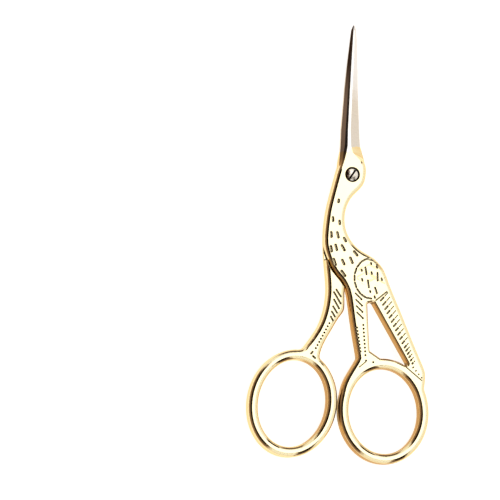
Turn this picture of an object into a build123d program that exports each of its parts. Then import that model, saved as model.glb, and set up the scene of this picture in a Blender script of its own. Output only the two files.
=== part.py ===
from build123d import *
import math
import os

os.makedirs("parts", exist_ok=True)

# Driving sizes of the scissors, lying flat and closed with the tips towards +Y and the pivot at the origin
handle_reach = 82.1
blade_reach = 42.9
thickness = 4.2
edge_round = 1.15

# Clearances: between the two lap faces, and beside the walls of the lap recesses
lap_gap = 0.04
step_gap = 0.25

# Bevel on the back half's recess wall: how deep it starts, and how far it runs back in plan
step_bevel = 0.3
step_bevel_x = -0.27
step_bevel_y = -0.13

# Finger rings: outer length and width, band, lean from the Y axis in degrees
ring_band = 3.0
ring_gap = 0.3
ring_meeting_share = -0.0508
body_ring_length = 30.0
body_ring_width = 26.35
body_ring_lean = 3.3
leg_ring_length = 30.8
leg_ring_width = 25.65
leg_ring_lean = -13.5
leg_ring_rise = 1.6

# Blades: half their width at the collar
blade_half_width = 3.2

# Pivot screw, and the wider seat that its head lies in
screw_seat_diameter = 4.3
screw_head_diameter = 3.5
screw_head_height = 1.0
screw_head_sink = 0.03
screw_head_dome = 7.5
screw_shank_diameter = 2.6
screw_slot_width = 0.55
screw_slot_depth = 0.4
screw_slot_angle = 55.0
screw_edge_round = 0.2
bore_clearance = 0.05

# Roundings in plan, in the crooks where legs, tail and rings run together
ankle_round = 0.8
heel_round = 2.5
instep_round = 1.2
tail_root_round = 3.0

# The window is pierced after the edges are rounded: its corners in plan, and its own edges
window_round = 0.5
window_edge_round = 0.7

# Chased marks: width and depth of each kind
feather_width = 0.8
feather_depth = 0.19
hatch_width = 0.56
hatch_depth = 0.14
fine_width = 0.42
fine_depth = 0.1
dot_width = 0.6
dot_depth = 0.16
scribe_width = 0.3
scribe_depth = 0.07

overrun = 1.0

# Where the two edges of the back leg enter its ring, as shares of the ring's half spans from its middle
nape_entry_shares = (0.144, 0.912)
thigh_entry_shares = (0.606, 0.723)

# Plan outlines as shares of the handle's reach, from the head down to the rings
breast_shares = [
    (-0.0250, 0.0560), (-0.0460, 0.0280), (-0.0565, -0.0030), (-0.0752, -0.0710), (-0.0886, -0.1270),
    (-0.0970, -0.1860), (-0.0984, -0.2480), (-0.0845, -0.2970), (-0.0600, -0.3430), (-0.0330, -0.3760),
    (-0.0200, -0.4020), (-0.0125, -0.4370), (-0.0055, -0.4890), (0.0050, -0.5580), (0.0125, -0.6000),
    (0.0179, -0.6341),
]
ankle_shares = [(0.0179, -0.6341), (-0.0050, -0.6720), (-0.0280, -0.7130), (-0.0400, -0.7700)]
tail_shares = [
    (0.0300, 0.0560), (0.0460, 0.0420), (0.0513, 0.0080), (0.0408, -0.0339), (0.0029, -0.0755),
    (-0.0194, -0.1172), (-0.0251, -0.1588), (-0.0173, -0.2004), (0.0085, -0.2420), (0.0334, -0.2628),
    (0.0709, -0.2837), (0.0960, -0.3045), (0.1119, -0.3253), (0.1294, -0.3670), (0.1641, -0.4502),
    (0.1988, -0.5335), (0.2341, -0.6168), (0.2523, -0.6585), (0.2594, -0.6792), (0.2600, -0.7080),
    (0.2540, -0.7600),
]
nape_shares = [
    (-0.0250, 0.0560), (-0.0460, 0.0280), (-0.0560, -0.0030), (-0.0748, -0.0710), (-0.0882, -0.1270),
    (-0.0967, -0.1860), (-0.0985, -0.2400), (-0.0965, -0.2850), (-0.0930, -0.3280), (-0.0885, -0.4051),
    (-0.0930, -0.4468), (-0.1030, -0.4884), (-0.1205, -0.5301), (-0.1480, -0.5716),
]
thigh_shares = [
    (0.0300, 0.0560), (0.0450, 0.0420), (0.0498, 0.0080), (0.0393, -0.0335), (0.0014, -0.0755),
    (-0.0209, -0.1172), (-0.0266, -0.1588), (-0.0235, -0.2050), (-0.0205, -0.2600), (-0.0205, -0.3200),
    (-0.0235, -0.3700), (-0.0263, -0.4100), (-0.0265, -0.4500), (-0.0292, -0.4710), (-0.0428, -0.4918),
    (-0.0689, -0.5335), (-0.0934, -0.5752), (-0.1090, -0.6100),
]
head_nose_share = (0.0, 0.0730)
window_shares = [
    (0.0530, -0.4458), (0.0609, -0.6090), (0.1500, -0.6684), (0.2235, -0.7000), (0.0740, -0.4410),
]

# Stretches of the outlines above that the other half's lap recess follows, first and last point
thigh_wall_points = slice(7, 13)
breast_wall_points = slice(7, 12)

# Crooks to round in plan; the upright edge nearest to each is meant
ankle_share = (0.0179, -0.6341)
tail_root_share = (0.2560, -0.7400)
window_middle_share = (0.1000, -0.5700)
heel_share = (-0.1770, -0.6100)
instep_share = (-0.1150, -0.6400)

# Blade stations from the head to the tip. Columns: share of the blade's reach; centre line, spine, cutting
# edge, the spine bevel's shoulder and the crest's two sides as shares of the half width; heights of spine,
# shoulder, crest and edge over the lap face as shares of half the thickness
blade_station_shares = [
    (0.035, 0.030, 1.250, 1.250, -1.130, -1.020, 0.890, 0.560, 0.870, 1.000, 0.560),
    (0.098, 0.010, 1.145, 1.150, -0.900, -0.720, 0.690, 0.590, 0.865, 1.000, 0.470),
    (0.148, -0.015, 1.060, 1.020, -0.770, -0.520, 0.060, 0.610, 0.870, 1.000, 0.270),
    (0.191, -0.040, 0.980, 0.880, -0.640, -0.390, -0.070, 0.550, 0.880, 1.000, 0.070),
    (0.296, -0.040, 0.910, 0.800, -0.560, -0.355, -0.105, 0.500, 0.870, 0.970, 0.060),
    (0.564, 0.050, 0.665, 0.600, -0.400, -0.230, 0.000, 0.390, 0.690, 0.790, 0.060),
    (0.774, 0.195, 0.475, 0.410, -0.300, -0.170, 0.055, 0.260, 0.480, 0.560, 0.060),
    (0.967, 0.300, 0.245, 0.220, -0.155, -0.070, 0.050, 0.140, 0.265, 0.320, 0.050),
    (1.000, 0.330, 0.090, 0.085, -0.060, -0.030, 0.030, 0.100, 0.160, 0.190, 0.050),
]

# Chased marks: place as shares of the handle's reach, lean in degrees, length as a share
neck_mark_shares = [
    (-0.0495, -0.0929, 82, 0.0170), (-0.0695, -0.1563, 93, 0.0210), (-0.0461, -0.1675, 95, 0.0200),
    (-0.0755, -0.2100, 93, 0.0245), (-0.0525, -0.2109, 103, 0.0265), (-0.0757, -0.2595, 99, 0.0260),
    (-0.0584, -0.2543, 105, 0.0270), (-0.0336, -0.2551, 120, 0.0280), (-0.0640, -0.3045, 109, 0.0300),
    (-0.0336, -0.3046, 115, 0.0250),
]
breast_mark_shares = [
    (-0.0275, -0.2265, 119, 0.0220), (0.0107, -0.2735, 130, 0.0260), (-0.0047, -0.2977, 114, 0.0280),
    (-0.0332, -0.3436, 127, 0.0300),
]
wing_mark_shares = [
    (0.0470, -0.3332, 100, 0.0310), (0.0555, -0.3783, 98, 0.0310), (0.0883, -0.3523, 91, 0.0340),
    (0.0824, -0.4000, 109, 0.0270), (0.0780, -0.4234, 109, 0.0120), (0.0860, -0.3193, 109, 0.0120),
    (0.0319, -0.3317, 105, 0.0110), (0.0337, -0.3646, 105, 0.0130), (0.0674, -0.3403, 105, 0.0130),
    (0.1030, -0.3611, 105, 0.0130), (0.0656, -0.3074, 105, 0.0110), (0.0620, -0.4045, 105, 0.0110),
]
wing_top_mark_shares = [(0.0600, -0.2935, 166, 0.0260), (0.0810, -0.3010, 152, 0.0250)]
thigh_mark_shares = [
    (-0.0504, -0.4122, 123, 0.0350), (-0.0548, -0.4290, 121, 0.0520), (-0.0575, -0.4503, 120, 0.0420),
    (-0.0630, -0.4694, 122, 0.0320), (-0.0690, -0.4850, 122, 0.0270), (-0.0743, -0.5006, 119, 0.0220),
]

# Marks where the legs run into their rings
heel_mark_shares = [(-0.1451, -0.6198, 48, 0.0150), (-0.1373, -0.6349, 139, 0.0170)]
ankle_mark_shares = [(0.0341, -0.6572, 39, 0.0320)]
ankle_dot_shares = [(0.0468, -0.6436, 90, 0.0), (0.0723, -0.6486, 90, 0.0)]

# Rows of marks: first and last place, lean, first and last length, number
tail_row_shares = ((0.1045, -0.4295), (0.1789, -0.5778), 48, 0.0210, 0.0170, 11)
tail_end_row_shares = ((0.1860, -0.5930), (0.2120, -0.6500), 50, 0.0150, 0.0100, 6)
tail_tip_row_shares = ((0.2140, -0.6640), (0.2440, -0.6990), 45, 0.0080, 0.0050, 4)
tail_vein_row_shares = ((0.1192, -0.4132), (0.1899, -0.5656), 48, 0.0200, 0.0134, 11)
tail_end_vein_row_shares = ((0.1942, -0.5840), (0.2185, -0.6428), 50, 0.0110, 0.0060, 6)
leg_row_shares = ((0.0204, -0.4217), (0.0240, -0.4859), 137, 0.0350, 0.0300, 4)
leg_dot_shares = ((0.0373, -0.5208), (0.0445, -0.6248), 90, 0.0, 0.0, 9)
shin_dot_shares = ((0.0150, -0.5300), (0.0270, -0.6120), 90, 0.0, 0.0, 8)
thigh_dot_shares = ((-0.0830, -0.5170), (-0.1310, -0.6040), 90, 0.0, 0.0, 9)
leg_end_dot_shares = ((0.0309, -0.4320), (0.0358, -0.4975), 90, 0.0, 0.0, 4)
wing_foot_shares = ((0.0880, -0.4300), (0.1160, -0.4080), 38, 0.0180, 0.0180, 3)
tail_ring_row_shares = ((0.1900, -0.6640), (0.2340, -0.7000), 141, 0.0300, 0.0300, 3)

# Wing: its oval border, and the angles between which the border is chased
wing_centre_share = (0.0655, -0.3590)
wing_half_width_share = 0.0590
wing_half_length_share = 0.0690
wing_border_share = 0.0235
wing_border_angles = (97, 262)
wing_border_marks = 9

front_lap = thickness / 2 + lap_gap / 2
back_lap = thickness / 2 - lap_gap / 2
head_top = thickness - screw_head_sink
head_floor = head_top - screw_head_height
ring_meeting = ring_meeting_share * handle_reach


def plan(shares):
    """Points given as shares of the handle's reach, in millimetres."""
    return [(x * handle_reach, y * handle_reach) for x, y in shares]


def leaning_span(length, width, lean):
    """Half extents along X and Y of a leaning ellipse."""
    turn = math.radians(lean)
    half_x = math.hypot(length / 2 * math.sin(turn), width / 2 * math.cos(turn))
    half_y = math.hypot(length / 2 * math.cos(turn), width / 2 * math.sin(turn))
    return half_x, half_y


body_ring_half_x, body_ring_half_y = leaning_span(body_ring_length, body_ring_width, body_ring_lean)
leg_ring_half_x, leg_ring_half_y = leaning_span(leg_ring_length, leg_ring_width, leg_ring_lean)
body_ring_x = ring_meeting + ring_gap / 2 + body_ring_half_x
body_ring_y = body_ring_half_y - handle_reach
leg_ring_x = ring_meeting - ring_gap / 2 - leg_ring_half_x
leg_ring_y = leg_ring_half_y + leg_ring_rise - handle_reach
body_ring = ((body_ring_x, body_ring_y), body_ring_length, body_ring_width, body_ring_lean)
leg_ring = ((leg_ring_x, leg_ring_y), leg_ring_length, leg_ring_width, leg_ring_lean)


def leg_entry(shares):
    """Point in the back leg's ring, given as shares of the ring's half spans from its middle."""
    return leg_ring_x + shares[0] * leg_ring_half_x, leg_ring_y + shares[1] * leg_ring_half_y


nape_run = plan(nape_shares) + [leg_entry(nape_entry_shares)]
thigh_run = plan(thigh_shares) + [leg_entry(thigh_entry_shares)]


def half_plan(left_runs, right_run, ring):
    """Plan of one half below the blade: head, neck, leg and finger ring."""
    centre, length, width, lean = ring
    with BuildSketch() as outline:
        with BuildLine():
            for run in left_runs:
                Spline(run)
            Line(left_runs[-1][-1], right_run[-1])
            Spline(right_run)
            ThreePointArc(left_runs[0][0], plan([head_nose_share])[0], right_run[0])
        make_face()
        with Locations(centre):
            Ellipse(width / 2, length / 2, rotation=lean)
            Ellipse(width / 2 - ring_band, length / 2 - ring_band, rotation=lean, mode=Mode.SUBTRACT)
    return outline.sketch


def window_plan():
    """Plan of the open window between leg, tail and ring."""
    with BuildSketch() as window:
        with BuildLine():
            Polyline(*plan(window_shares), close=True)
        make_face()
        with Locations((body_ring_x, body_ring_y)):
            Ellipse(body_ring_width / 2, body_ring_length / 2, rotation=body_ring_lean, mode=Mode.SUBTRACT)
    return window.sketch


def recess_plan(wall, side):
    """Plan of a lap recess: all that lies above its wall, on this side of it."""
    far = side * handle_reach
    corners = [(far, wall[-1][1]), (far, blade_reach), (-far, blade_reach), (-far, wall[0][1])]
    with BuildSketch() as recess:
        with BuildLine():
            Spline(wall)
            Polyline(wall[-1], *corners, wall[0])
        make_face()
    return recess.sketch


def blade_loft(face_height, side):
    """One blade and its collar on a lap face; side is 1 above the face and -1, turned over, below it."""
    with BuildPart() as blade:
        for station_shares in blade_station_shares:
            reach, centre, spine, edge, shoulder, near, far = station_shares[:7]
            spine_top, shoulder_top, crest, edge_top = station_shares[7:]
            middle = centre * blade_half_width
            across = side * blade_half_width
            up = side * back_lap
            section = [
                (-spine, 0), (edge, 0), (edge, edge_top), (far, crest), (near, crest),
                (shoulder, shoulder_top), (-spine, spine_top),
            ]
            points = [(middle + across * x, face_height + up * z) for x, z in section]
            station = Plane(origin=(0, reach * blade_reach, 0), x_dir=(1, 0, 0), z_dir=(0, -1, 0))
            with BuildSketch(station):
                with BuildLine():
                    Polyline(*points, close=True)
                make_face()
        loft(ruled=True)
    return blade.part


def upright_near(builder, share):
    """The upright edge that lies nearest to a place in plan."""
    x, y = plan([share])[0]
    return builder.edges().filter_by(Axis.Z).sort_by_distance((x, y, thickness / 2))[0]


def opening_near(builder, share, level):
    """Outline of the opening that lies nearest to a place in plan, on the lowest or the highest face."""
    x, y = plan([share])[0]
    face = builder.faces().sort_by(Axis.Z)[level]
    return face.inner_wires().sort_by_distance((x, y, thickness / 2))[0]


def rim_edges(builder):
    """All edges of the upper face and of the underside."""
    faces = builder.faces().sort_by(Axis.Z)
    return faces[0].edges() + faces[-1].edges()


def row(row_shares):
    """Marks spaced evenly along a straight row, growing or shrinking on the way."""
    (x0, y0), (x1, y1), lean, first_length, last_length, count = row_shares
    marks = []
    for step in range(count):
        way = step / (count - 1)
        length = first_length + (last_length - first_length) * way
        marks.append((x0 + (x1 - x0) * way, y0 + (y1 - y0) * way, lean, length))
    return marks


def wing_border():
    """Marks along the wing's oval border, each lying along the oval."""
    first_angle, last_angle = wing_border_angles
    marks = []
    for step in range(wing_border_marks):
        angle = math.radians(first_angle + (last_angle - first_angle) * step / (wing_border_marks - 1))
        across = wing_half_width_share * math.cos(angle)
        along = wing_half_length_share * math.sin(angle)
        slope_x = -wing_half_width_share * math.sin(angle)
        slope_y = wing_half_length_share * math.cos(angle)
        lean = math.degrees(math.atan2(slope_y, slope_x))
        marks.append((wing_centre_share[0] + across, wing_centre_share[1] + along, lean, wing_border_share))
    return marks


def scoop(length, width, depth):
    """Round-ended tool that cuts one mark into a face, and the height of its axis over that face."""
    radius = ((width / 2) ** 2 / depth + depth) / 2
    run = max(length - width, 0) / 2
    with BuildPart() as tool:
        if run == 0:
            Sphere(radius)
        else:
            with BuildSketch(Plane.XZ):
                with BuildLine():
                    Line((-run, radius), (run, radius))
                    RadiusArc((run, radius), (run + radius, 0), radius)
                    Line((run + radius, 0), (-run - radius, 0))
                    RadiusArc((-run - radius, 0), (-run, radius), radius)
                make_face()
            revolve(axis=Axis.X)
    return tool.part, radius - depth


def chase(marks, width, depth, underside):
    """Tools for marks on the upper face, or on the underside."""
    tools = []
    for x, y, lean, length in marks:
        tool, height = scoop(length * handle_reach, width, depth)
        level = -height if underside else thickness + height
        tools.append(tool.moved(Location((x * handle_reach, y * handle_reach, level), (0, 0, lean))))
    return tools


def body_marks(underside):
    """Everything chased on one face of the body, the front leg and the tail."""
    border = wing_border() + wing_top_mark_shares
    hatches = wing_mark_shares + border + row(tail_row_shares) + row(tail_end_row_shares)
    fine = row(leg_row_shares) + row(wing_foot_shares) + row(tail_tip_row_shares)
    dots = row(leg_dot_shares) + row(shin_dot_shares) + row(leg_end_dot_shares) + ankle_dot_shares
    veins = row(tail_vein_row_shares) + row(tail_end_vein_row_shares)
    scribed = veins + row(tail_ring_row_shares) + ankle_mark_shares
    return (
        chase(hatches, hatch_width, hatch_depth, underside)
        + chase(fine, fine_width, fine_depth, underside)
        + chase(dots, dot_width, dot_depth, underside)
        + chase(scribed, scribe_width, scribe_depth, underside)
    )


def thigh_marks(underside):
    """Everything chased on one face of the thigh and the back leg."""
    return (
        chase(thigh_mark_shares + heel_mark_shares, hatch_width, hatch_depth, underside)
        + chase(row(thigh_dot_shares), dot_width, dot_depth, underside)
    )


# Half with the body, the tail and the front blade; it lies over the back half
thigh_wall = [(x + step_gap, y) for x, y in plan(thigh_shares[thigh_wall_points])]
with BuildPart() as stork_half:
    add(half_plan([plan(breast_shares), plan(ankle_shares)], plan(tail_shares), body_ring))
    extrude(amount=thickness)
    fillet(upright_near(stork_half, ankle_share), ankle_round)
    fillet(upright_near(stork_half, tail_root_share), tail_root_round)
    fillet(rim_edges(stork_half), edge_round)
    add(window_plan())
    extrude(amount=thickness, mode=Mode.SUBTRACT)
    window_outline = opening_near(stork_half, window_middle_share, -1)
    uprights = [edge for edge in stork_half.edges().filter_by(Axis.Z) if edge.distance_to(window_outline) < lap_gap]
    fillet(uprights, window_round)
    for level in (0, -1):
        fillet(opening_near(stork_half, window_middle_share, level).edges(), window_edge_round)
    with BuildSketch(Plane.XY.offset(-overrun)):
        add(recess_plan(thigh_wall, -1))
    extrude(amount=front_lap + overrun, mode=Mode.SUBTRACT)
    add(blade_loft(front_lap, 1))
    with BuildSketch():
        Circle(screw_shank_diameter / 2 + bore_clearance)
    extrude(amount=thickness, mode=Mode.SUBTRACT)
    with BuildSketch(Plane.XY.offset(head_floor - lap_gap / 2)):
        Circle(screw_seat_diameter / 2)
    extrude(amount=thickness, mode=Mode.SUBTRACT)
    feathers = chase(neck_mark_shares + breast_mark_shares, feather_width, feather_depth, False)
    add(feathers, mode=Mode.SUBTRACT)
    add(body_marks(False), mode=Mode.SUBTRACT)
    add(body_marks(True), mode=Mode.SUBTRACT)
stork_half.part.label = "stork_half"
export_step(stork_half.part, "parts/stork_half.step")

# Half with the back blade and the back leg; its lap recess takes the breast of the other half
breast_wall = [(x - step_gap, y - step_gap / 2) for x, y in plan(breast_shares[breast_wall_points])]
bevelled_wall = [(x + 2 * step_bevel_x, y + 2 * step_bevel_y) for x, y in breast_wall]
with BuildPart() as back_half:
    add(half_plan([nape_run], thigh_run, leg_ring))
    extrude(amount=thickness)
    fillet(upright_near(back_half, heel_share), heel_round)
    fillet(upright_near(back_half, instep_share), instep_round)
    fillet(rim_edges(back_half), edge_round)
    with BuildSketch(Plane.XY.offset(back_lap)):
        add(recess_plan(breast_wall, 1))
    extrude(amount=thickness, mode=Mode.SUBTRACT)
    for wall, height in ((breast_wall, thickness - step_bevel), (bevelled_wall, thickness + step_bevel)):
        with BuildSketch(Plane.XY.offset(height)):
            add(recess_plan(wall, 1))
    loft(ruled=True, mode=Mode.SUBTRACT)
    add(blade_loft(back_lap, -1))
    with BuildSketch():
        Circle(screw_shank_diameter / 2)
    extrude(amount=thickness, mode=Mode.SUBTRACT)
    add(chase(neck_mark_shares, feather_width, feather_depth, True), mode=Mode.SUBTRACT)
    add(thigh_marks(False), mode=Mode.SUBTRACT)
    add(thigh_marks(True), mode=Mode.SUBTRACT)
back_half.part.label = "back_half"
export_step(back_half.part, "parts/back_half.step")

# Screw: slotted, slightly domed head let into the upper half, shank screwed fast into the back half
shank_radius = screw_shank_diameter / 2
head_radius = screw_head_diameter / 2
rim_top = head_top - screw_head_dome + math.sqrt(screw_head_dome**2 - head_radius**2)
with BuildPart() as pivot_screw:
    with BuildSketch(Plane.XZ) as half_section:
        with BuildLine():
            Polyline(
                (0, head_top), (0, 0), (shank_radius, 0), (shank_radius, head_floor),
                (head_radius, head_floor), (head_radius, rim_top),
            )
            RadiusArc((head_radius, rim_top), (0, head_top), -screw_head_dome)
        make_face()
        fillet(half_section.vertices().sort_by_distance((head_radius, rim_top))[0], screw_edge_round)
    revolve(axis=Axis.Z)
    with BuildSketch(Plane.XY.offset(head_top)):
        Rectangle(screw_head_diameter + overrun, screw_slot_width, rotation=screw_slot_angle)
    extrude(amount=-screw_slot_depth, mode=Mode.SUBTRACT)
pivot_screw.part.label = "pivot_screw"
export_step(pivot_screw.part, "parts/pivot_screw.step")

for piece in (stork_half, back_half, pivot_screw):
    print(piece.part.label, round(piece.part.volume, 1), piece.part.is_valid, len(piece.solids()))
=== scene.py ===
# %% [markdown]
# # Stork embroidery scissors
# Slim scissors in the shape of a standing stork: the closed blades are its beak, the screw its eye, and its
# legs run down into two finger rings. Each half is one steel forging. It is trimmed, its marks are struck
# with small punches, and it is polished and gold plated all over. The blades are ground afterwards, which
# takes the plating off them again and leaves bare steel.
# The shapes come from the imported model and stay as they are. This script gives each metal surface its
# finish, and sets the studio light, the table and the camera.

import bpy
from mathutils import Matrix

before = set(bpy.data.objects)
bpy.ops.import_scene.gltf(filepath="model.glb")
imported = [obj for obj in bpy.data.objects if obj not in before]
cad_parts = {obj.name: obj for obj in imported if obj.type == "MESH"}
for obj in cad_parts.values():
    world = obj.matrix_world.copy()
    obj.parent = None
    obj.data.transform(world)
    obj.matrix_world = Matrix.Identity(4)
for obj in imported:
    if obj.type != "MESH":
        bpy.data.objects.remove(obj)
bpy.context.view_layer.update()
print("nodes:", sorted(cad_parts))

# %% [markdown]
# ## Helpers for node trees
# The finishes below are written as node trees. These few functions keep each of them readable. They make a
# node with its values, and they combine sockets and numbers. The soft step between two limits turns any
# measure into a mask, and the mixes go from one value or colour to another by such a mask.

# %% Helpers for node trees
import math

import bmesh
import bpy
from mathutils import Matrix, Vector

mm = 0.001


def connect(tree, source, socket):
    """Feed a socket from another socket, or set it to a plain value."""
    if isinstance(source, bpy.types.NodeSocket):
        tree.links.new(source, socket)
    else:
        socket.default_value = source


def add_node(tree, kind, inputs=None, **settings):
    """A node with its settings, and its inputs connected or set by name or place."""
    node = tree.nodes.new(kind)
    for name, value in settings.items():
        setattr(node, name, value)
    for place, source in (inputs or {}).items():
        connect(tree, source, node.inputs[place])
    return node


def calc(tree, operation, *sources):
    """A Math node over sockets or numbers; gives its output socket."""
    return add_node(tree, "ShaderNodeMath", dict(enumerate(sources)), operation=operation).outputs[0]


def product(tree, first, *others):
    """All values multiplied; of masks, where all of them hold."""
    for other in others:
        first = calc(tree, "MULTIPLY", first, other)
    return first


def largest(tree, first, *others):
    """The largest of all values; of masks, where any of them holds."""
    for other in others:
        first = calc(tree, "MAXIMUM", first, other)
    return first


def rising(tree, start, slope, value):
    """A value times a slope, on top of a start."""
    return calc(tree, "ADD", start, product(tree, value, slope))


def squared_length(tree, across, along):
    """The square of a vector's length, from its two parts."""
    return calc(tree, "ADD", product(tree, across, across), product(tree, along, along))


def dot(tree, first, second):
    """The dot product of two vectors, as a socket."""
    node = add_node(tree, "ShaderNodeVectorMath", {0: first, 1: second}, operation="DOT_PRODUCT")
    return node.outputs["Value"]


def step(tree, value, low, high):
    """0 at low, 1 at high, with a smooth way between them; low may be the larger."""
    if low < high:
        limits = {"Value": value, "From Min": low, "From Max": high}
    else:
        limits = {"Value": value, "From Min": high, "From Max": low, "To Min": 1.0, "To Max": 0.0}
    return add_node(tree, "ShaderNodeMapRange", limits, interpolation_type="SMOOTHSTEP").outputs["Result"]


def near(tree, value, middle, outer, inner):
    """1 within the inner distance of a place, and 0 beyond the outer one."""
    distance = calc(tree, "ABSOLUTE", calc(tree, "SUBTRACT", value, middle))
    return step(tree, distance, outer, inner)


def mix_value(tree, mask, low, high):
    """low where the mask is 0 and high where it is 1."""
    return add_node(tree, "ShaderNodeMix", {0: mask, 2: low, 3: high}, data_type="FLOAT").outputs[0]


def mix_colour(tree, mask, low, high):
    """One colour where the mask is 0 and the other where it is 1."""
    return add_node(tree, "ShaderNodeMix", {0: mask, 6: low, 7: high}, data_type="RGBA").outputs[2]


def noise(tree, vector, scale, detail=2.0, roughness=0.5):
    """Noise from 0 to 1; scale is in features per metre."""
    values = {"Vector": vector, "Scale": scale, "Detail": detail, "Roughness": roughness}
    return add_node(tree, "ShaderNodeTexNoise", values).outputs["Fac"]


def mapped(tree, vector, turn=0.0, scale=(1.0, 1.0, 1.0)):
    """Coordinates turned about Z by an angle in degrees, then stretched."""
    turned = add_node(tree, "ShaderNodeMapping", {"Vector": vector, "Rotation": (0, 0, math.radians(turn))})
    return add_node(tree, "ShaderNodeMapping", {"Vector": turned.outputs[0], "Scale": scale}).outputs[0]


print("helpers ready")

# %% [markdown]
# ## Camera
# The scissors are photographed from above with a long lens. Their left walls and the walls that face down
# the picture show a little, so the camera leans 13 degrees to the left and 6 degrees down from straight
# above. A long lens keeps both finger rings equally large.

# %% Camera
picture_pixels = 500
mm_per_pixel = 0.2833
lens_mm = 400.0
sensor_mm = 36.0
lean_left = math.radians(13)
lean_down = math.radians(6)
aim_right = -29.01 * mm
aim_up = -21.39 * mm
face_height = 4.1 * mm

flat_right = Vector((math.cos(lean_left), 0, math.sin(lean_left)))
to_camera = Vector((
    -math.sin(lean_left) * math.cos(lean_down),
    -math.sin(lean_down),
    math.cos(lean_left) * math.cos(lean_down),
))
picture_up = to_camera.cross(flat_right)
picture_right = picture_up.cross(to_camera)
aim = Vector((0, 0, face_height)) + picture_right * aim_right + picture_up * aim_up
camera_distance = picture_pixels * mm_per_pixel * mm * lens_mm / sensor_mm
camera_data = bpy.data.cameras.new("camera")
camera_data.lens = lens_mm
camera_data.sensor_width = sensor_mm
camera_data.clip_start = 0.1
camera_data.clip_end = 10
camera = bpy.data.objects.new("camera", camera_data)
camera_turn = Matrix((picture_right, picture_up, to_camera)).transposed().to_4x4()
camera.matrix_world = Matrix.Translation(aim + to_camera * camera_distance) @ camera_turn
bpy.context.scene.collection.objects.link(camera)
bpy.context.scene.camera = camera
print("camera distance in m:", round(camera_distance, 3))

# %% [markdown]
# ## Directions in the studio
# Polished gold looks like what it mirrors. Such small goods are photographed in a white tent, so the tent is
# the world here, painted by direction. A direction is told by its angle from the middle of the bright panel,
# which stands where the flat faces mirror it, and by the side of the panel on which it lies.

# %% Directions in the studio
bpy.context.scene.view_settings.view_transform = "Standard"
world = bpy.data.worlds.new("studio_tent")
bpy.context.scene.world = world
world.use_nodes = True
tent = world.node_tree
tent.nodes.clear()
zenith = (0.0, 0.0, 1.0)
panel_middle = Vector((-to_camera.x, -to_camera.y, to_camera.z))
panel_right = (Vector((1, 0, 0)) - panel_middle * panel_middle.x).normalized()
panel_up = panel_middle.cross(panel_right)
direction = add_node(tent, "ShaderNodeTexCoord").outputs["Generated"]
off_panel = calc(tent, "ARCCOSINE", dot(tent, direction, panel_middle))
off_zenith = calc(tent, "ARCCOSINE", dot(tent, direction, zenith))
across = dot(tent, direction, panel_right)
along = dot(tent, direction, panel_up)
spread = calc(tent, "SQRT", squared_length(tent, across, along))


def angle_step(angle, low, high):
    """A soft step over an angle, with both limits in degrees."""
    return step(tent, angle, math.radians(low), math.radians(high))


def ring_zone(low, high, soft):
    """1 for directions between two angles from the panel's middle, in degrees."""
    rise = angle_step(off_panel, low - soft, low + soft)
    fall = angle_step(off_panel, high + soft, high - soft)
    return product(tent, rise, fall)


def side_zone(middle, half, soft):
    """1 for directions that lie within half an angle of a side; 0 is right and 90 is up."""
    side_across = math.cos(math.radians(middle))
    side_along = math.sin(math.radians(middle))
    towards = rising(tent, product(tent, across, side_across), side_along, along)
    towards = calc(tent, "DIVIDE", towards, spread)
    return step(tent, towards, math.cos(math.radians(half + soft)), math.cos(math.radians(half - soft)))


print("panel's middle:", [round(part, 3) for part in panel_middle])

# %% [markdown]
# ## Light in the studio
# Beside the bright panel stand dark brown cards, which draw the dark lines along the rounded edges. The
# cards are lighter away from the panel, so the lines fade outwards as in polished gold. A small patch
# straight overhead is as light as the cloth and keeps the flat faces golden when they are seen from above.
# All of it is soft, so that no edge looks cut.

# %% Light in the studio
cloth_level = 0.98
panel_level = 1.7
overhead_level = 0.95
card_level_near = 0.004
card_level_far = 0.22
card_level_behind = 0.5
white_cloth = (1.0, 0.995, 0.98, 1)
warm_cloth = (0.98, 0.86, 0.70, 1)
card_brown = (1.0, 0.64, 0.43, 1)
# Each card: side, half width, soft edge; nearest and farthest angle from the panel, soft edge
cards = [
    ((187, 52, 7), (9, 104, 2)),
    ((270, 62, 10), (10, 17, 2)),
    ((-60, 11, 4), (11, 92, 3)),
    ((52, 12, 4), (15, 56, 5)),
    ((88, 20, 7), (34, 80, 6)),
]

shade = largest(tent, *(product(tent, side_zone(*side), ring_zone(*span)) for side, span in cards))
card_level = mix_value(tent, angle_step(off_panel, 30, 76), card_level_near, card_level_far)
card_level = mix_value(tent, angle_step(off_panel, 66, 104), card_level, card_level_behind)
round_panel = angle_step(off_panel, 9.5, 7.5)
tall_panel = product(tent, side_zone(90, 42, 12), angle_step(off_panel, 20, 15))
panel = largest(tent, round_panel, tall_panel)
overhead = angle_step(off_zenith, 6, 4)
level = mix_value(tent, shade, cloth_level, card_level)
level = mix_value(tent, overhead, level, overhead_level)
level = mix_value(tent, panel, level, panel_level)

warm_wall = product(tent, side_zone(0, 60, 25), ring_zone(62, 110, 14))
cloth = mix_colour(tent, warm_wall, white_cloth, warm_cloth)
unlit = calc(tent, "SUBTRACT", 1.0, largest(tent, panel, overhead))
tint = mix_colour(tent, product(tent, shade, unlit), cloth, card_brown)
background = add_node(tent, "ShaderNodeBackground", {"Color": tint, "Strength": level})
add_node(tent, "ShaderNodeOutputWorld", {"Surface": background.outputs[0]})
print("cards in the tent:", len(cards))

# %% [markdown]
# ## Table
# The scissors lie on a wide sheet of white paper. It is lit until its edges and grain vanish into white, and
# only the shadow right under the metal is left. What the metal mirrors of it is the same white.

# %% Table
table_half_width = 3.0
table_gap = 0.02 * mm
paper_grey = 0.6
paper_glow = 0.88

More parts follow.
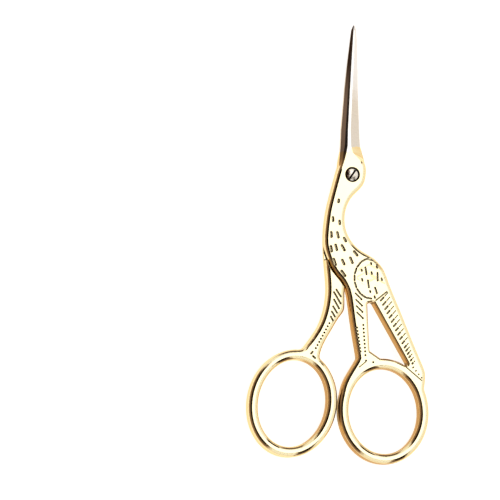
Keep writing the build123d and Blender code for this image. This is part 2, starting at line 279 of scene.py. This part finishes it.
table_mesh = bpy.data.meshes.new("table")
sheet = bmesh.new()
bmesh.ops.create_grid(sheet, x_segments=1, y_segments=1, size=table_half_width)
bmesh.ops.translate(sheet, verts=sheet.verts, vec=(0, 0, -table_gap))
sheet.to_mesh(table_mesh)
sheet.free()
table = bpy.data.objects.new("table", table_mesh)
bpy.context.scene.collection.objects.link(table)
paper = bpy.data.materials.new("white_paper")
paper.use_nodes = True
tree = paper.node_tree
paper_inputs = tree.nodes["Principled BSDF"].inputs
paper_inputs["Base Color"].default_value = (paper_grey, paper_grey, paper_grey, 1)
paper_inputs["Roughness"].default_value = 0.9
paper_inputs["Specular IOR Level"].default_value = 0.0
paper_inputs["Emission Color"].default_value = (1, 1, 1, 1)
path = add_node(tree, "ShaderNodeLightPath").outputs
seen = largest(tree, path["Is Camera Ray"], path["Is Glossy Ray"], path["Is Transmission Ray"])
connect(tree, product(tree, seen, paper_glow), paper_inputs["Emission Strength"])
table_mesh.materials.append(paper)
print("table half width in m:", table_half_width)

# %% [markdown]
# ## Shared surface effects
# Three effects turn up on more than one metal, so each is a node group. The first is polishing, which
# leaves a surface that is never quite flat, with hairline scratches in a few directions.

# %% Group for polishing traces
def new_group(name, inputs, outputs):
    """An empty shader node group with number inputs and the given outputs."""
    group = bpy.data.node_groups.new(name, "ShaderNodeTree")
    for label, value in inputs.items():
        socket = group.interface.new_socket(label, in_out="INPUT", socket_type="NodeSocketFloat")
        socket.default_value = value
    for label, kind in outputs.items():
        group.interface.new_socket(label, in_out="OUTPUT", socket_type=kind)
    return group, group.nodes.new("NodeGroupInput").outputs, group.nodes.new("NodeGroupOutput").inputs


polish, given, result = new_group(
    "polishing_traces",
    {"Scratches": 1.0, "Waviness": 1.0},
    {"Height": "NodeSocketFloat", "Smudge": "NodeSocketFloat"},
)
scratch_depth = -0.012
place = add_node(polish, "ShaderNodeTexCoord").outputs["Object"]
hairlines = 0.0
for turn, stretch in ((64, 2600), (-23, 3300), (102, 2900)):
    strand = noise(polish, mapped(polish, place, turn, (1.0, 0.05, 0.3)), stretch, 1.0)
    patch = step(polish, noise(polish, mapped(polish, place, turn + 31), 130, 1.0), 0.5, 0.66)
    hairlines = largest(polish, hairlines, product(polish, step(polish, strand, 0.70, 0.78), patch))
waves = rising(polish, noise(polish, place, 150, 1.0), 0.08, noise(polish, place, 900, 2.0))
waves = product(polish, waves, given["Waviness"])
scratches = product(polish, hairlines, scratch_depth, given["Scratches"])
connect(polish, calc(polish, "ADD", waves, scratches), result["Height"])
connect(polish, noise(polish, place, 260, 4.0, 0.6), result["Smudge"])
print("group:", polish.name, len(polish.nodes), "nodes")

# %% [markdown]
# The second effect darkens the hollows of the struck marks, the screw's slot and its seat. It is partly the
# dark polishing paste that stays there and partly painted shade, as the mask grows where the surface closes
# in.

# %% Group for paste and painted shade in hollows
hollows, given, result = new_group(
    "paste_and_shade_in_hollows",
    {"Reach": 0.5 * mm},
    {"Mask": "NodeSocketFloat"},
)
# Painted shade: points closed in by nearby surface within the reach are masked dark, with grime noise as
# paste.
open_sky = add_node(hollows, "ShaderNodeAmbientOcclusion", {"Distance": given["Reach"]}, samples=12,
                    only_local=True).outputs["AO"]
place = add_node(hollows, "ShaderNodeTexCoord").outputs["Object"]
grime = noise(hollows, place, 1500, 3.0)
closed = rising(hollows, calc(hollows, "SUBTRACT", 1.0, open_sky), 0.1, grime)
connect(hollows, step(hollows, closed, 0.06, 0.14), result["Mask"])
print("group:", hollows.name, len(hollows.nodes), "nodes")

# %% [markdown]
# The third effect is the buffing wheel, which softens all corners a little and brightens them.

# %% Group for buffed corners
corners, given, result = new_group(
    "buffed_corners",
    {"Radius": 0.12 * mm},
    {"Normal": "NodeSocketVector", "Mask": "NodeSocketFloat"},
)
rounded = add_node(corners, "ShaderNodeBevel", {"Radius": given["Radius"]}, samples=8).outputs["Normal"]
sharp = add_node(corners, "ShaderNodeNewGeometry").outputs["True Normal"]
connect(corners, rounded, result["Normal"])
connect(corners, step(corners, dot(corners, rounded, sharp), 0.995, 0.9), result["Mask"])
print("group:", corners.name, len(corners.nodes), "nodes")

# %% [markdown]
# ## Gold plating
# One material covers both halves, because the plating and the bare steel are one surface on the real
# halves. The faces are polished thin and pale. The walls, which the wheel hardly reaches, keep a duller
# shine.
# Their deeper, redder gold is painted shade, standing in for the warm light that they mirror. Painted shade
# also makes them darkest between the legs, inside the left ring and where the two rings meet.

# %% Gold plating
def new_material(name):
    """A metal material; gives it with its node tree and its shader's inputs."""
    material = bpy.data.materials.new(name)
    material.use_nodes = True
    inputs = material.node_tree.nodes["Principled BSDF"].inputs
    inputs["Metallic"].default_value = 1.0
    return material, material.node_tree, inputs


def use_group(tree, group, inputs):
    """A shared effect placed in a material, with its own values."""
    node = tree.nodes.new("ShaderNodeGroup")
    node.node_tree = group
    for name, value in inputs.items():
        connect(tree, value, node.inputs[name])
    return node.outputs


bright_gold = (0.98, 0.87, 0.57, 1)
smudged_gold = (0.97, 0.84, 0.52, 1)
shaded_wall_gold = (0.95, 0.76, 0.41, 1)
recess_shade_gold = (0.50, 0.25, 0.075, 1)
ring_gap_shade_gold = (0.16, 0.07, 0.022, 1)
ring_contact_x = -4.17 * mm
ring_contact_y = -66.5 * mm

plated, tree, plated_inputs = new_material("gold_plated_steel")
coordinates = add_node(tree, "ShaderNodeTexCoord").outputs
place = coordinates["Object"]
at = add_node(tree, "ShaderNodeSeparateXYZ", {0: place}).outputs
facing = add_node(tree, "ShaderNodeSeparateXYZ", {0: coordinates["Normal"]}).outputs
traces = use_group(tree, polish, {"Scratches": 1.0, "Waviness": 1.0})
soft = use_group(tree, corners, {"Radius": 0.12 * mm})

steepness = calc(tree, "SUBTRACT", 1.0, calc(tree, "ABSOLUTE", facing["Z"]))
wall = step(tree, steepness, 0.01, 0.3)
gold = mix_colour(tree, traces["Smudge"], bright_gold, smudged_gold)
# Painted shade: every wall takes a deeper, redder gold than the faces.
gold = mix_colour(tree, wall, gold, shaded_wall_gold)

# Painted shade: walls that don't face right, between the legs and inside the left ring, turn dark brown
# gold.
between_legs = product(tree, step(tree, at["X"], -4.7 * mm, -4.1 * mm),
                       step(tree, at["Y"], -27 * mm, -30 * mm))
in_left_ring = product(tree, step(tree, at["X"], -16 * mm, -13 * mm),
                       step(tree, at["Y"], -50 * mm, -52 * mm))
recess_shade = product(tree, step(tree, steepness, 0.25, 0.7), step(tree, facing["X"], 0.35, 0.1),
                    largest(tree, between_legs, in_left_ring))
gold = mix_colour(tree, recess_shade, gold, recess_shade_gold)
# Painted shade: the walls where the two rings meet turn near black.
ring_gap_shade = product(tree, near(tree, at["X"], ring_contact_x, 0.85 * mm, 0.35 * mm),
                 near(tree, at["Y"], ring_contact_y, 9 * mm, 4 * mm),
                 step(tree, steepness, 0.01, 0.1))
gold = mix_colour(tree, ring_gap_shade, gold, ring_gap_shade_gold)
print("plating colours mixed")

# %% [markdown]
# ## Wing, paste and painted shade on the plating
# Faint crossed lines fill the wing, as barbs between the struck feathers. The marks below the collar are
# black, partly with paste and partly with painted shade. The narrow gap round the screw's head is painted
# black, its shade together with paste. Where a wall of a mark faces right, most of the black is taken off,
# as painted light from the bright panel that it mirrors.

# %% Wing, paste and painted shade on the plating
barb_gold = (0.62, 0.42, 0.17, 1)
black_paste_and_shade = (0.008, 0.003, 0.002, 1)
barb_strength = 0.55
barb_stretch = (0.14, 1.0, 1.0)
barbs_per_metre = 1300
wing_x, wing_y = 5.4 * mm, -29.5 * mm
wing_half_width, wing_half_length = 4.4 * mm, 5.2 * mm

wing_across = calc(tree, "DIVIDE", calc(tree, "SUBTRACT", at["X"], wing_x), wing_half_width)
wing_along = calc(tree, "DIVIDE", calc(tree, "SUBTRACT", at["Y"], wing_y), wing_half_length)
in_wing = step(tree, squared_length(tree, wing_across, wing_along), 1.0, 0.85)
barbs = largest(tree, *(noise(tree, mapped(tree, place, turn, barb_stretch), barbs_per_metre, 1.0)
                        for turn in (25, -32)))
barbs = product(tree, step(tree, barbs, 0.58, 0.66), in_wing)
gold = mix_colour(tree, product(tree, barbs, barb_strength), gold, barb_gold)

from_axis = calc(tree, "SQRT", squared_length(tree, at["X"], at["Y"]))
# Painted shade and paste: the narrow gap round the screw's head turns black.
seat_gap_shade = product(tree, step(tree, from_axis, 2.17 * mm, 2.13 * mm),
               step(tree, at["Z"], 4.19 * mm, 4.15 * mm))
below_collar = step(tree, at["Y"], 3.0 * mm, 1.5 * mm)
# Painted light: walls of the marks that face right keep only about a third of the black.
less_shade_on_right_walls = mix_value(tree, step(tree, facing["X"], 0.3, 0.65), 1.0, 0.35)
paste_and_shade = use_group(tree, hollows, {"Reach": 0.5 * mm})["Mask"]
paste_and_shade = largest(tree, product(tree, paste_and_shade, below_collar, less_shade_on_right_walls), seat_gap_shade)
gold = mix_colour(tree, paste_and_shade, gold, black_paste_and_shade)
gold_rough = mix_value(tree, wall, rising(tree, 0.04, 0.05, traces["Smudge"]), 0.1)
gold_rough = mix_value(tree, paste_and_shade, gold_rough, 0.45)
print("wing and paste added")

# %% [markdown]
# ## Ground blades
# Beyond the collar the grinding has taken the plating off. The steel there shows fine lines across the blade
# and has a ragged edge towards the gold. The left-facing walls near the tip are painted near black, as
# painted shade.

# %% Ground blades
dull_steel = (0.76, 0.73, 0.69, 1)
bright_steel = (0.82, 0.79, 0.76, 1)
corner_steel = (0.88, 0.86, 0.83, 1)
left_wall_shade_steel = (0.09, 0.06, 0.05, 1)
grind_stretch = (0.08, 1.0, 0.08)
grinds_per_metre = 5200

grind = noise(tree, mapped(tree, place, 8, grind_stretch), grinds_per_metre, 3.0, 0.6)
steel = mix_colour(tree, grind, dull_steel, bright_steel)
steel = mix_colour(tree, soft["Mask"], steel, corner_steel)
# Painted shade: walls facing left near the tip turn near black.
left_wall_shade = product(tree, step(tree, facing["X"], -0.3, -0.5), step(tree, at["Y"], 18 * mm, 34 * mm))
steel = mix_colour(tree, left_wall_shade, steel, left_wall_shade_steel)
steel_rough = rising(tree, 0.1, 0.14, grind)

side_shift = product(tree, step(tree, at["X"], -1.5 * mm, 0.5 * mm), 1.6 * mm)
ragged = product(tree, noise(tree, place, 900, 3.0), 1.4 * mm)
edge_line = calc(tree, "SUBTRACT", calc(tree, "SUBTRACT", at["Y"], side_shift), ragged)
bare = step(tree, edge_line, 5.6 * mm, 5.9 * mm)
print("steel colours mixed")

# %% [markdown]
# ## Gold and steel together
# The mask of the bare steel joins both finishes in one shader. Polished gold stays golden where it is seen
# from the side, so its mirroring there is tinted too.

# %% Gold and steel together
side_gold = (1.0, 0.84, 0.58, 1)
relief_depth = 0.04 * mm


def give_material(names, material):
    """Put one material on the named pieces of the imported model."""
    for name in names:
        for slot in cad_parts[name].material_slots:
            slot.link = "OBJECT"
            slot.material = material
    print("material:", material.name, len(material.node_tree.nodes), "nodes")


connect(tree, mix_colour(tree, bare, gold, steel), plated_inputs["Base Color"])
connect(tree, mix_value(tree, bare, gold_rough, steel_rough), plated_inputs["Roughness"])
plated_inputs["Specular Tint"].default_value = side_gold
relief = rising(tree, traces["Height"], 0.05, product(tree, grind, bare))
bump = add_node(tree, "ShaderNodeBump", {"Height": relief, "Normal": soft["Normal"],
                                         "Distance": relief_depth, "Strength": 0.6})
connect(tree, bump.outputs["Normal"], plated_inputs["Normal"])
give_material(("stork_half", "back_half"), plated)

# %% [markdown]
# ## Pivot screw
# The screw is turned from bright steel and left unplated. The turning tool leaves fine rings on the head,
# and the screwdriver has dragged bright strokes across it. Oil leaves smudges on it. Its left part is
# painted dark brown as painted shade, and paste and painted shade darken the slot.

# %% Pivot screw
clean_steel = (0.92, 0.87, 0.77, 1)
oiled_steel = (0.80, 0.72, 0.60, 1)
left_shade_steel = (0.16, 0.07, 0.035, 1)
stroke_steel = (0.97, 0.94, 0.87, 1)
slot_paste_and_shade = (0.012, 0.007, 0.005, 1)
turning_pitch = 0.16 * mm
drags_per_metre = 4200

turned, tree, turned_inputs = new_material("turned_screw_steel")
place = add_node(tree, "ShaderNodeTexCoord").outputs["Object"]
at = add_node(tree, "ShaderNodeSeparateXYZ", {0: place}).outputs
traces = use_group(tree, polish, {"Scratches": 2.0, "Waviness": 0.6})
paste_and_shade = use_group(tree, hollows, {"Reach": 0.6 * mm})["Mask"]
soft = use_group(tree, corners, {"Radius": 0.08 * mm})
from_axis = calc(tree, "SQRT", squared_length(tree, at["X"], at["Y"]))
rings = calc(tree, "SINE", product(tree, from_axis, 2 * math.pi / turning_pitch))
drag = noise(tree, mapped(tree, place, 55, (0.06, 1.0, 1.0)), drags_per_metre, 2.0)
# Painted shade: the head darkens towards its left side, broken up by the drag strokes.
away_from_left_shade = rising(tree, product(tree, at["X"], 0.6 / mm), 1.6, drag)
tone = mix_colour(tree, traces["Smudge"], clean_steel, oiled_steel)
tone = mix_colour(tree, step(tree, away_from_left_shade, 0.45, 0.05), tone, left_shade_steel)
tone = mix_colour(tree, step(tree, drag, 0.56, 0.64), tone, stroke_steel)
tone = mix_colour(tree, paste_and_shade, tone, slot_paste_and_shade)
connect(tree, tone, turned_inputs["Base Color"])
connect(tree, mix_value(tree, paste_and_shade, rising(tree, 0.1, 0.12, drag), 0.6), turned_inputs["Roughness"])
relief = rising(tree, product(tree, rings, 0.02), 0.2, drag)
relief = calc(tree, "ADD", relief, traces["Height"])
bump = add_node(tree, "ShaderNodeBump", {"Height": relief, "Normal": soft["Normal"],
                                         "Distance": relief_depth, "Strength": 1.0})
connect(tree, bump.outputs["Normal"], turned_inputs["Normal"])
give_material(("pivot_screw",), turned)
